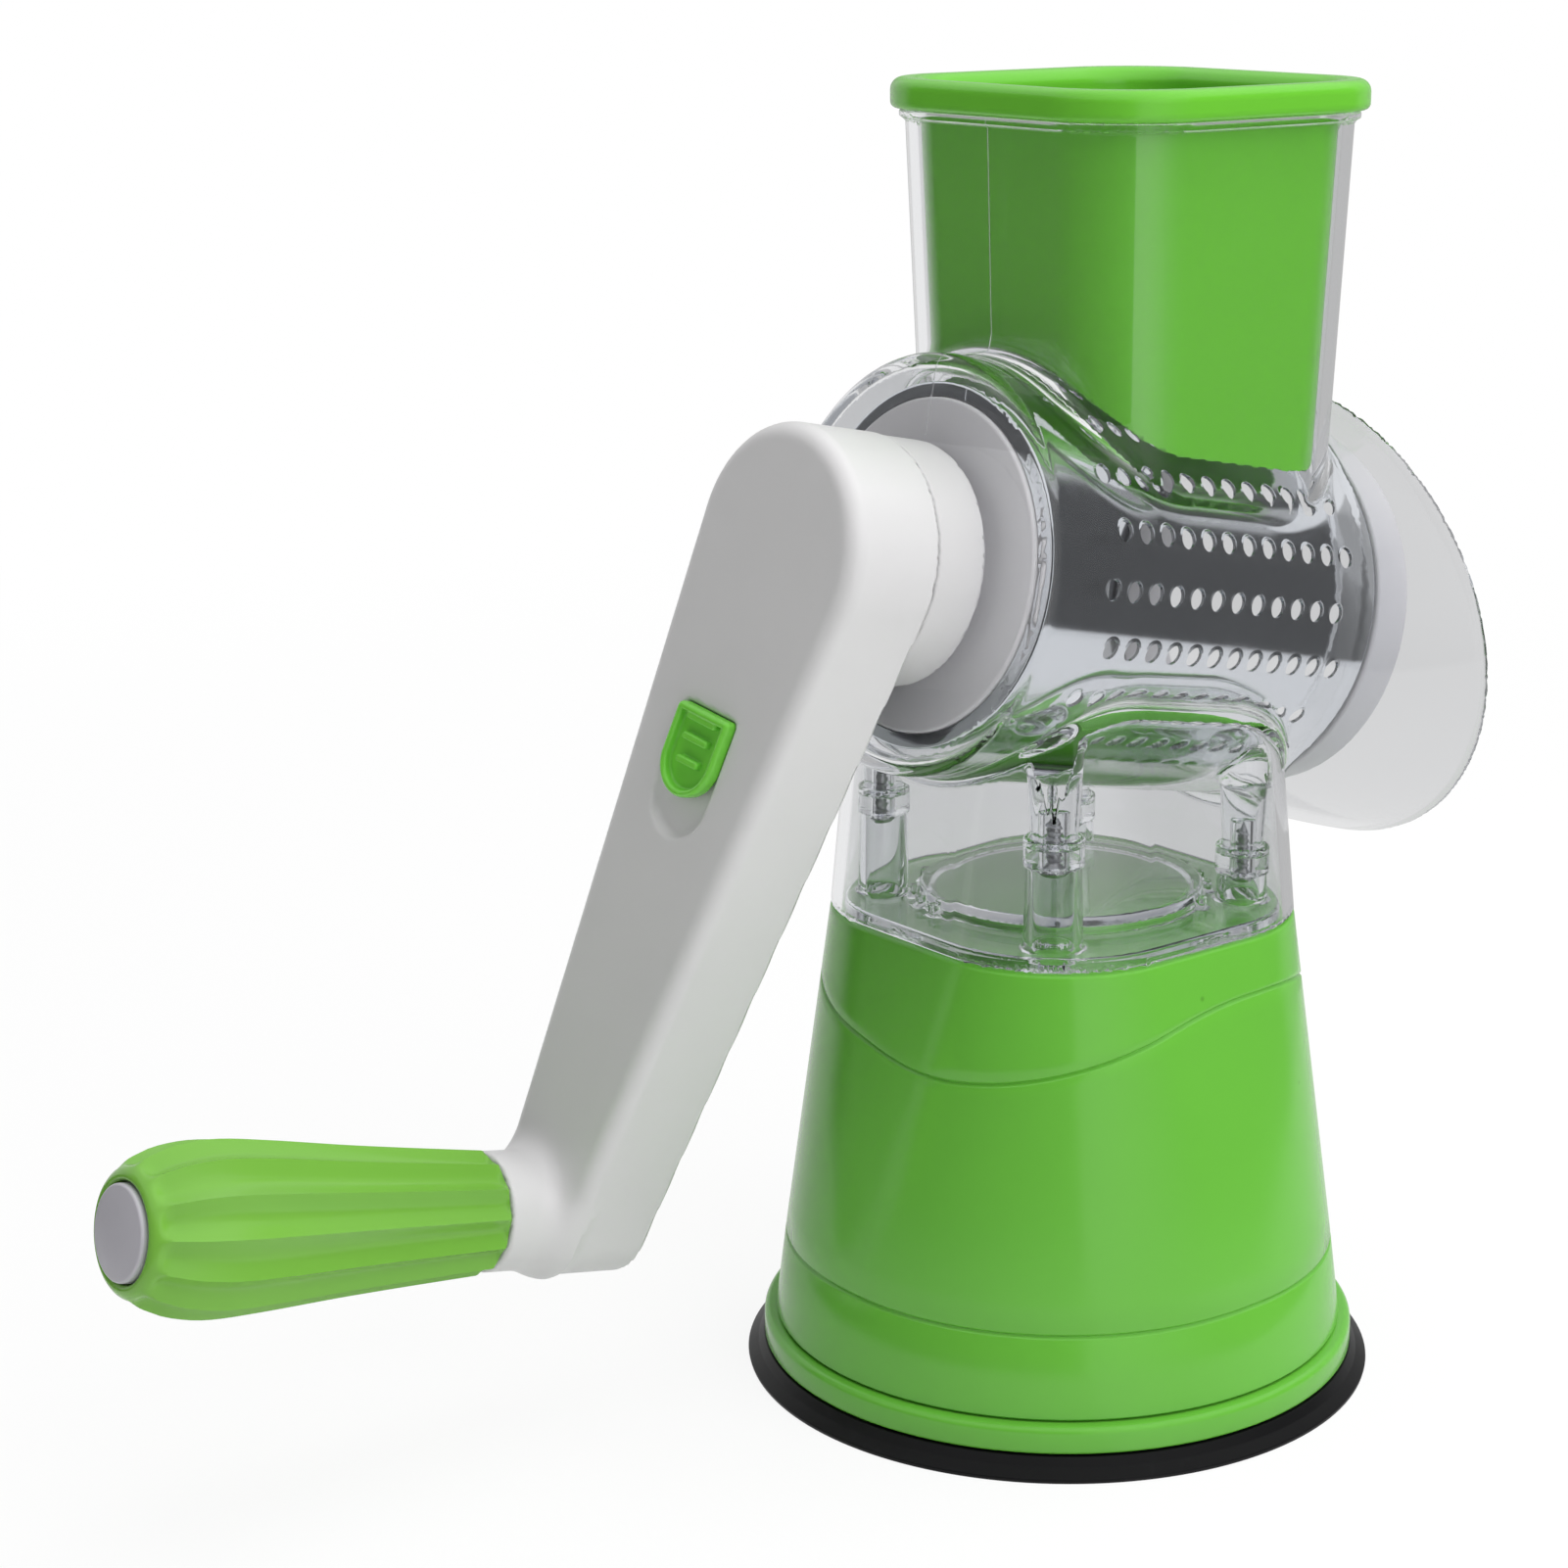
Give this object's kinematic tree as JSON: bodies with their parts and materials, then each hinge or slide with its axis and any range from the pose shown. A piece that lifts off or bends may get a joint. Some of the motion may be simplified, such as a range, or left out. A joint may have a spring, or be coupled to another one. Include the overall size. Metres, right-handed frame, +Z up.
{
  "type": "tabletop rotary cheese grater",
  "caption": "Hand-cranked rotary grater: suction base, clear housing with a square feed chute, pusher, perforated steel drum, flared outlet and a crank with a turning grip.",
  "frame": {"origin": "the middle of the suction pad's underside, on the table", "axes": "+Z up along the axis of the round base; the drum's axis lies in the XZ plane, with the crank at -X and the outlet at +X, and runs downhill towards the outlet by 12 degrees"},
  "size_m": [0.2597, 0.1246, 0.25],
  "materials": {
    "green_plastic": "glossy bright green moulded plastic",
    "white_plastic": "satin off-white moulded plastic",
    "pale_plastic": "satin pale grey moulded plastic",
    "clear_plastic": "polished clear moulded plastic",
    "black_rubber": "semi-gloss black rubber",
    "drum_steel": "polished stainless sheet with punched holes",
    "screw_steel": "bright zinc-plated steel"
  },
  "bodies": {
    "base": {"suction_pad": "black_rubber", "base_ring": "green_plastic", "base_screw_1": "screw_steel", "base_screw_2": "screw_steel", "base_screw_3": "screw_steel", "base_shell": "green_plastic", "floor_plate": "clear_plastic", "housing_screw_1": "screw_steel", "housing_screw_2": "screw_steel", "housing_screw_3": "screw_steel", "housing_screw_4": "screw_steel", "housing": "clear_plastic"},
    "lever": {"suction_lever": "green_plastic"},
    "stem": {"suction_stem": "white_plastic", "suction_pin": "screw_steel"},
    "pusher": {"pusher": "green_plastic"},
    "crank": {"drum_sheet": "drum_steel", "drum_drive_cap": "pale_plastic", "drum_outlet_ring": "pale_plastic", "crank_arm": "white_plastic", "crank_back": "white_plastic", "crank_screw_1": "screw_steel", "crank_screw_2": "screw_steel", "grip_washer": "screw_steel", "grip_screw": "screw_steel"},
    "lock": {"lock_button": "green_plastic", "lock_tongue": "white_plastic"},
    "grip": {"grip": "green_plastic", "grip_cap": "pale_plastic"}
  },
  "joints": [
    {"name": "crank_spin", "type": "hinge", "parent": "base", "child": "crank", "pos_m": [0, 0, 0.1571], "axis": [0.9781, 0, -0.2079], "continuous": true},
    {"name": "grip_spin", "type": "hinge", "parent": "crank", "child": "grip", "pos_m": [-0.02772, 0.04204, 0.02668], "axis": [0.9781, 0, -0.2079], "continuous": true},
    {"name": "lock_slide", "type": "slide", "parent": "crank", "child": "lock", "axis": [-0.1983, 0.3007, -0.9329], "range_m": [0, 0.008]},
    {"name": "pusher_lift", "type": "slide", "parent": "base", "child": "pusher", "axis": [0, 0, 1], "range_m": [0, 0.08]},
    {"name": "lever_swing", "type": "hinge", "parent": "base", "child": "lever", "pos_m": [0, 0, 0.0149], "axis": [0, 0, 1], "range_deg": [0, 60]},
    {"name": "stem_lift", "type": "slide", "parent": "base", "child": "stem", "axis": [0, 0, 1], "range_m": [0, 0.003]}
  ],
  "couplings": [
    {"joint": "stem_lift", "follows": "lever_swing", "m_per_rad": 0.00286}
  ]
}
